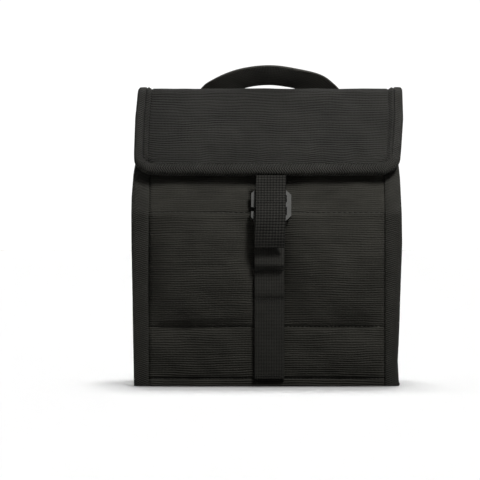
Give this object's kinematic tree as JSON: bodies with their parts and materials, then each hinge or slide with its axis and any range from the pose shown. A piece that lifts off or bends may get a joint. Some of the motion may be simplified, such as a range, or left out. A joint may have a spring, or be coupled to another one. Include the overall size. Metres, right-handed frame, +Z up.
{
  "type": "insulated cooler bag",
  "caption": "Soft insulated lunch bag: box body, folding gabled top with a bound flap, hooked front strap, row of webbing loops and an arched top handle.",
  "frame": {"origin": "centre of the footprint, on the floor the bag stands on", "axes": "+Z up, -Y out of the front that carries the strap, +X to the right as seen from the front"},
  "size_m": [0.22, 0.1731, 0.2673],
  "materials": {
    "cover_cloth": "ribbed woven cloth, near-black",
    "foam": "closed-cell foam sheet",
    "lining_foil": "silver-grey heat-sealed film",
    "binding_tape": "herringbone tape",
    "webbing": "flat woven webbing",
    "thread": "sewing thread",
    "gusset_cloth": "ribbed woven cloth, near-black",
    "hook_metal": "dull gunmetal plate"
  },
  "bodies": {
    "shell": {"front_cover": "cover_cloth", "front_foam": "foam", "front_lining": "lining_foil", "back_cover": "cover_cloth", "back_foam": "foam", "back_lining": "lining_foil", "left_gusset_cover": "cover_cloth", "left_gusset_foam": "foam", "left_gusset_lining": "lining_foil", "right_gusset_cover": "cover_cloth", "right_gusset_foam": "foam", "right_gusset_lining": "lining_foil", "base_cover": "cover_cloth", "base_foam": "foam", "base_lining": "lining_foil", "left_seam_binding": "binding_tape", "right_seam_binding": "binding_tape", "ladder_backing": "webbing", "ladder_loops": "webbing", "ladder_top_loop": "webbing", "ladder_bartacks": "thread"},
    "front_top": {"front_top_cover": "cover_cloth", "front_top_foam": "foam", "front_top_lining": "lining_foil", "mouth_binding": "binding_tape", "front_top_left_binding": "binding_tape", "front_top_right_binding": "binding_tape"},
    "back_top": {"back_top_cover": "cover_cloth", "back_top_foam": "foam", "back_top_lining": "lining_foil", "back_top_left_binding": "binding_tape", "back_top_right_binding": "binding_tape", "ridge_cover": "cover_cloth", "ridge_foam": "foam", "ridge_lining": "lining_foil", "handle_ends": "webbing", "handle_bartacks": "thread"},
    "flap": {"flap_cover": "cover_cloth", "flap_foam": "foam", "flap_lining": "lining_foil", "flap_binding": "binding_tape", "strap_anchor": "webbing"},
    "strap": {"closure_strap": "webbing", "hook_keeper": "webbing"},
    "hook": {"strap_hook": "hook_metal"},
    "handle": {"handle_webbing": "webbing"},
    "left_gusset_top": {"left_gusset_top": "gusset_cloth"},
    "right_gusset_top": {"right_gusset_top": "gusset_cloth"},
    "wing_front_left": {"wing_front_left": "gusset_cloth"},
    "wing_front_right": {"wing_front_right": "gusset_cloth"},
    "wing_back_left": {"wing_back_left": "gusset_cloth"},
    "wing_back_right": {"wing_back_right": "gusset_cloth"}
  },
  "joints": [
    {"name": "flap_open", "type": "hinge", "parent": "back_top", "child": "flap", "pos_m": [0, -0.00362, 0.2375], "axis": [-1, 0, 0], "range_deg": [0, 103.4], "deforming": ["ridge_cover", "ridge_foam", "ridge_lining"]},
    {"name": "back_top_open", "type": "hinge", "parent": "shell", "child": "back_top", "pos_m": [0, 0.076, 0.142], "axis": [-1, 0, 0], "range_deg": [0, 35.9]},
    {"name": "front_top_open", "type": "hinge", "parent": "shell", "child": "front_top", "pos_m": [0, -0.076, 0.142], "axis": [1, 0, 0], "range_deg": [0, 35.9]},
    {"name": "right_gusset_open", "type": "hinge", "parent": "shell", "child": "right_gusset_top", "pos_m": [0.095, 0, 0.142], "axis": [0, 1, 0], "range_deg": [0, 35.9]},
    {"name": "left_gusset_open", "type": "hinge", "parent": "shell", "child": "left_gusset_top", "pos_m": [-0.095, 0, 0.142], "axis": [0, -1, 0], "range_deg": [0, 35.9]},
    {"name": "wing_front_right_open", "type": "hinge", "parent": "front_top", "child": "wing_front_right", "pos_m": [0.095, -0.0756, 0.1417], "axis": [0, -0.5896, -0.8077], "range_deg": [0, 88]},
    {"name": "wing_front_left_open", "type": "hinge", "parent": "front_top", "child": "wing_front_left", "pos_m": [-0.095, -0.0756, 0.1417], "axis": [0, 0.5896, 0.8077], "range_deg": [0, 88]},
    {"name": "wing_back_right_open", "type": "hinge", "parent": "back_top", "child": "wing_back_right", "pos_m": [0.095, 0.0756, 0.1417], "axis": [0, -0.5896, 0.8077], "range_deg": [0, 88]},
    {"name": "wing_back_left_open", "type": "hinge", "parent": "back_top", "child": "wing_back_left", "pos_m": [-0.095, 0.0756, 0.1417], "axis": [0, 0.5896, -0.8077], "range_deg": [0, 88]},
    {"name": "strap_lift", "type": "hinge", "parent": "flap", "child": "strap", "pos_m": [0.0035, -0.0718, 0.1759], "axis": [-1, 0, 0], "range_deg": [0, 110], "deforming": ["ladder_top_loop"]},
    {"name": "hook_tilt", "type": "hinge", "parent": "strap", "child": "hook", "pos_m": [0.0035, -0.07501, 0.1595], "axis": [1, 0, 0], "range_deg": [0, 25]},
    {"name": "handle_fold", "type": "hinge", "parent": "back_top", "child": "handle", "pos_m": [0.003, 0.03594, 0.20561], "axis": [-1, 0, 0], "range_deg": [0, 85]}
  ],
  "couplings": [
    {"joint": "back_top_open", "follows": "flap_open", "ratio": 0.34719},
    {"joint": "front_top_open", "follows": "flap_open", "ratio": 0.34719},
    {"joint": "right_gusset_open", "follows": "flap_open", "ratio": 0.34719},
    {"joint": "left_gusset_open", "follows": "flap_open", "ratio": 0.34719},
    {"joint": "wing_front_right_open", "follows": "flap_open", "ratio": 0.85106},
    {"joint": "wing_front_left_open", "follows": "flap_open", "ratio": 0.85106},
    {"joint": "wing_back_right_open", "follows": "flap_open", "ratio": 0.85106},
    {"joint": "wing_back_left_open", "follows": "flap_open", "ratio": 0.85106},
    {"joint": "hook_tilt", "follows": "strap_lift", "ratio": 0.22727}
  ]
}
